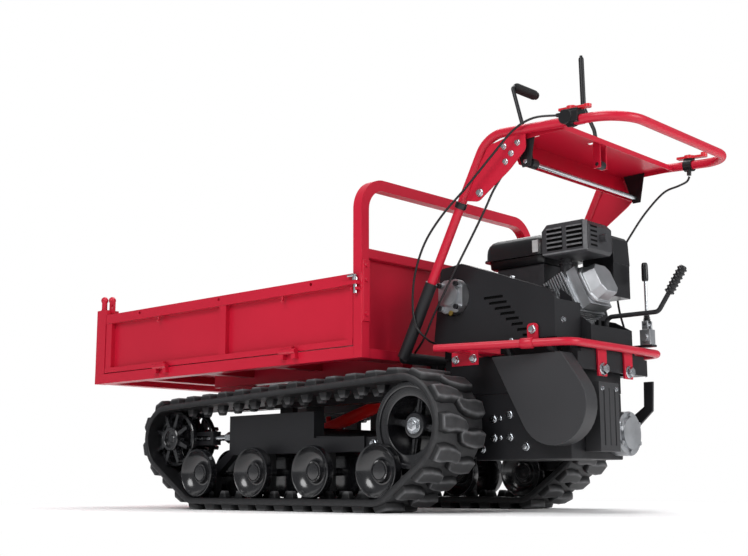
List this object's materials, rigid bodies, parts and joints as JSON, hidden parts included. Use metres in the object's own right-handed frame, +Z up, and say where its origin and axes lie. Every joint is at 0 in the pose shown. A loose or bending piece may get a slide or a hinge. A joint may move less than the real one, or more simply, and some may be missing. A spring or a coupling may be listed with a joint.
{
  "type": "tracked power carrier",
  "caption": "Walk-behind load carrier on rubber tracks with a tipping flatbed, fold-down sides, petrol engine, belt drive and a raised rear handle with control levers.",
  "frame": {"origin": "on the ground under the middle of the machine's outer box", "axes": "-X towards the load bed's front, +X towards the operator's handle, -Y the machine's left side, +Z up"},
  "size_m": [1.9774, 0.816, 1.175],
  "materials": {
    "red_paint": "gloss",
    "black_paint": "satin",
    "track_rubber": "matte",
    "wheel_black": "gloss",
    "bright_steel": "bright zinc",
    "cast_aluminium": "cast, satin",
    "black_plastic": "satin",
    "exhaust_black": "heat-proof matte",
    "red_plastic": "gloss"
  },
  "bodies": {
    "chassis": {"main_frame": "black_paint", "track_frames": "black_paint", "track_tensioners": "bright_steel", "track_belt_left": "track_rubber", "track_belt_right": "track_rubber", "gearbox": "black_paint", "gearbox_cover": "cast_aluminium", "oil_tank": "black_paint", "drive_belt": "track_rubber", "belt_guard": "black_paint", "engine_block": "cast_aluminium", "valve_cover": "cast_aluminium", "fuel_tank": "black_plastic", "exhaust": "exhaust_black", "air_cleaner": "black_plastic", "recoil_housing": "black_plastic", "hydraulic_pump": "cast_aluminium", "side_cover": "black_paint", "rear_deck": "black_paint", "hydraulic_valve": "cast_aluminium", "bumper": "red_paint", "handlebar": "red_paint", "control_panel": "red_paint", "lever_mounts": "black_plastic", "control_cables": "track_rubber", "frame_bolts": "bright_steel"},
    "bed": {"bed_floor": "red_paint", "corner_posts": "red_paint", "headboard": "red_paint", "hoop": "red_paint"},
    "cylinder_barrel": {"cylinder_barrel": "red_paint"},
    "cylinder_rod": {"cylinder_rod": "bright_steel"},
    "drop_side_left": {"drop_side_left": "red_paint"},
    "side_latch_left": {"side_latch_left": "bright_steel"},
    "drop_side_right": {"drop_side_right": "red_paint"},
    "side_latch_right": {"side_latch_right": "bright_steel"},
    "tailgate": {"tailgate": "red_paint"},
    "drive_sprocket_left": {"drive_sprocket_left": "wheel_black"},
    "idler_wheel_left": {"idler_wheel_left": "wheel_black"},
    "road_wheel_left_1": {"road_wheel_left_1": "wheel_black"},
    "road_wheel_left_2": {"road_wheel_left_2": "wheel_black"},
    "road_wheel_left_3": {"road_wheel_left_3": "wheel_black"},
    "road_wheel_left_4": {"road_wheel_left_4": "wheel_black"},
    "drive_sprocket_right": {"drive_sprocket_right": "wheel_black"},
    "idler_wheel_right": {"idler_wheel_right": "wheel_black"},
    "road_wheel_right_1": {"road_wheel_right_1": "wheel_black"},
    "road_wheel_right_2": {"road_wheel_right_2": "wheel_black"},
    "road_wheel_right_3": {"road_wheel_right_3": "wheel_black"},
    "road_wheel_right_4": {"road_wheel_right_4": "wheel_black"},
    "gearbox_pulley": {"gearbox_pulley": "bright_steel"},
    "engine_pulley": {"engine_pulley": "bright_steel"},
    "clutch_lever": {"clutch_lever": "black_paint"},
    "drive_lever": {"drive_lever": "black_paint"},
    "gear_lever": {"gear_lever": "black_paint"},
    "valve_lever": {"valve_lever": "bright_steel"},
    "brake_arm": {"brake_arm": "black_paint"},
    "throttle_lever": {"throttle_lever": "red_plastic"},
    "hand_lever": {"hand_lever": "red_plastic"},
    "fuel_cap": {"fuel_cap": "black_plastic"},
    "recoil_grip": {"recoil_grip": "black_plastic"}
  },
  "joints": [
    {"name": "bed_tilt", "type": "hinge", "parent": "chassis", "child": "bed", "pos_m": [-0.545, 0, 0.348], "axis": [0, -1, 0], "range_deg": [0, 40]},
    {"name": "ram_swing", "type": "hinge", "parent": "chassis", "child": "cylinder_barrel", "pos_m": [-0.336, 0, 0.226], "axis": [0, -1, 0], "range_deg": [0, 46.2]},
    {"name": "ram_stroke", "type": "slide", "parent": "cylinder_barrel", "child": "cylinder_rod", "axis": [0.9641, 0, 0.2657], "range_m": [0, 0.157]},
    {"name": "drop_side_left_hinge", "type": "hinge", "parent": "bed", "child": "drop_side_left", "pos_m": [-0.339, -0.4, 0.431], "axis": [1, 0, 0], "range_deg": [0, 175]},
    {"name": "side_latch_left_lift", "type": "slide", "parent": "drop_side_left", "child": "side_latch_left", "axis": [0, 0, 1], "range_m": [0, 0.025]},
    {"name": "drop_side_right_hinge", "type": "hinge", "parent": "bed", "child": "drop_side_right", "pos_m": [-0.339, 0.4, 0.431], "axis": [-1, 0, 0], "range_deg": [0, 175]},
    {"name": "side_latch_right_lift", "type": "slide", "parent": "drop_side_right", "child": "side_latch_right", "axis": [0, 0, 1], "range_m": [0, 0.025]},
    {"name": "tailgate_hinge", "type": "hinge", "parent": "bed", "child": "tailgate", "pos_m": [-0.966, 0, 0.431], "axis": [0, -1, 0], "range_deg": [0, 120]},
    {"name": "sprocket_left_spin", "type": "hinge", "parent": "chassis", "child": "drive_sprocket_left", "pos_m": [0.375, -0.31, 0.218], "axis": [0, 1, 0], "continuous": true},
    {"name": "idler_left_spin", "type": "hinge", "parent": "chassis", "child": "idler_wheel_left", "pos_m": [-0.572, -0.31, 0.209], "axis": [0, 1, 0], "continuous": true},
    {"name": "road_wheel_left_1_spin", "type": "hinge", "parent": "chassis", "child": "road_wheel_left_1", "pos_m": [-0.435, -0.31, 0.1055], "axis": [0, 1, 0], "continuous": true},
    {"name": "road_wheel_left_2_spin", "type": "hinge", "parent": "chassis", "child": "road_wheel_left_2", "pos_m": [-0.19497, -0.31, 0.1055], "axis": [0, 1, 0], "continuous": true},
    {"name": "road_wheel_left_3_spin", "type": "hinge", "parent": "chassis", "child": "road_wheel_left_3", "pos_m": [0.04507, -0.31, 0.1055], "axis": [0, 1, 0], "continuous": true},
    {"name": "road_wheel_left_4_spin", "type": "hinge", "parent": "chassis", "child": "road_wheel_left_4", "pos_m": [0.2851, -0.31, 0.1055], "axis": [0, 1, 0], "continuous": true},
    {"name": "sprocket_right_spin", "type": "hinge", "parent": "chassis", "child": "drive_sprocket_right", "pos_m": [0.375, 0.31, 0.218], "axis": [0, 1, 0], "continuous": true},
    {"name": "idler_right_spin", "type": "hinge", "parent": "chassis", "child": "idler_wheel_right", "pos_m": [-0.572, 0.31, 0.209], "axis": [0, 1, 0], "continuous": true},
    {"name": "road_wheel_right_1_spin", "type": "hinge", "parent": "chassis", "child": "road_wheel_right_1", "pos_m": [-0.435, 0.31, 0.1055], "axis": [0, 1, 0], "continuous": true},
    {"name": "road_wheel_right_2_spin", "type": "hinge", "parent": "chassis", "child": "road_wheel_right_2", "pos_m": [-0.19497, 0.31, 0.1055], "axis": [0, 1, 0], "continuous": true},
    {"name": "road_wheel_right_3_spin", "type": "hinge", "parent": "chassis", "child": "road_wheel_right_3", "pos_m": [0.04507, 0.31, 0.1055], "axis": [0, 1, 0], "continuous": true},
    {"name": "road_wheel_right_4_spin", "type": "hinge", "parent": "chassis", "child": "road_wheel_right_4", "pos_m": [0.2851, 0.31, 0.1055], "axis": [0, 1, 0], "continuous": true},
    {"name": "gearbox_pulley_spin", "type": "hinge", "parent": "chassis", "child": "gearbox_pulley", "pos_m": [0.709, -0.185, 0.261], "axis": [0, 1, 0], "continuous": true},
    {"name": "engine_pulley_spin", "type": "hinge", "parent": "chassis", "child": "engine_pulley", "pos_m": [0.565, -0.185, 0.5], "axis": [0, 1, 0], "continuous": true},
    {"name": "clutch_lever_swing", "type": "hinge", "parent": "chassis", "child": "clutch_lever", "pos_m": [0.686, 0, 0.862], "axis": [0, 1, 0], "range_deg": [-12, 12]},
    {"name": "drive_lever_swing", "type": "hinge", "parent": "chassis", "child": "drive_lever", "pos_m": [0.786, -0.08, 0.87], "axis": [0, 1, 0], "range_deg": [-10, 10]},
    {"name": "gear_lever_swing", "type": "hinge", "parent": "chassis", "child": "gear_lever", "pos_m": [0.735, 0, 0.426], "axis": [0, 1, 0], "range_deg": [-8, 8]},
    {"name": "valve_lever_swing", "type": "hinge", "parent": "chassis", "child": "valve_lever", "pos_m": [0.773, 0.142, 0.484], "axis": [0, 1, 0], "range_deg": [-15, 15]},
    {"name": "brake_arm_swing", "type": "hinge", "parent": "chassis", "child": "brake_arm", "pos_m": [0.71, 0.138, 0.215], "axis": [0, 1, 0], "range_deg": [0, 14]},
    {"name": "throttle_lever_swing", "type": "hinge", "parent": "chassis", "child": "throttle_lever", "pos_m": [0.835, -0.28, 0.93081], "axis": [-0.0628, 0, -0.998], "range_deg": [0, 60]},
    {"name": "hand_lever_swing", "type": "hinge", "parent": "chassis", "child": "hand_lever", "pos_m": [0.845, 0.28, 0.93018], "axis": [0.0628, 0, 0.998], "range_deg": [0, 43]},
    {"name": "fuel_cap_twist", "type": "hinge", "parent": "chassis", "child": "fuel_cap", "pos_m": [0.565, 0.04, 0.725], "axis": [0, 0, 1], "range_deg": [0, 90]},
    {"name": "recoil_pull", "type": "slide", "parent": "chassis", "child": "recoil_grip", "axis": [-0.766, 0, 0.6428], "range_m": [0, 0.25], "stiffness_N_per_m": 20, "springref_m": -0.05}
  ],
  "couplings": [
    {"joint": "idler_left_spin", "follows": "sprocket_left_spin", "ratio": 1.3253},
    {"joint": "road_wheel_left_1_spin", "follows": "sprocket_left_spin", "ratio": 1.5714},
    {"joint": "road_wheel_left_2_spin", "follows": "sprocket_left_spin", "ratio": 1.5714},
    {"joint": "road_wheel_left_3_spin", "follows": "sprocket_left_spin", "ratio": 1.5714},
    {"joint": "road_wheel_left_4_spin", "follows": "sprocket_left_spin", "ratio": 1.5714},
    {"joint": "idler_right_spin", "follows": "sprocket_right_spin", "ratio": 1.3253},
    {"joint": "road_wheel_right_1_spin", "follows": "sprocket_right_spin", "ratio": 1.5714},
    {"joint": "road_wheel_right_2_spin", "follows": "sprocket_right_spin", "ratio": 1.5714},
    {"joint": "road_wheel_right_3_spin", "follows": "sprocket_right_spin", "ratio": 1.5714},
    {"joint": "road_wheel_right_4_spin", "follows": "sprocket_right_spin", "ratio": 1.5714},
    {"joint": "engine_pulley_spin", "follows": "gearbox_pulley_spin", "ratio": 2.377},
    {"joint": "ram_swing", "follows": "bed_tilt", "ratio": 1.1435},
    {"joint": "ram_stroke", "follows": "bed_tilt", "m_per_rad": 0.221},
    {"joint": "hand_lever_swing", "follows": "brake_arm_swing", "ratio": 3}
  ]
}
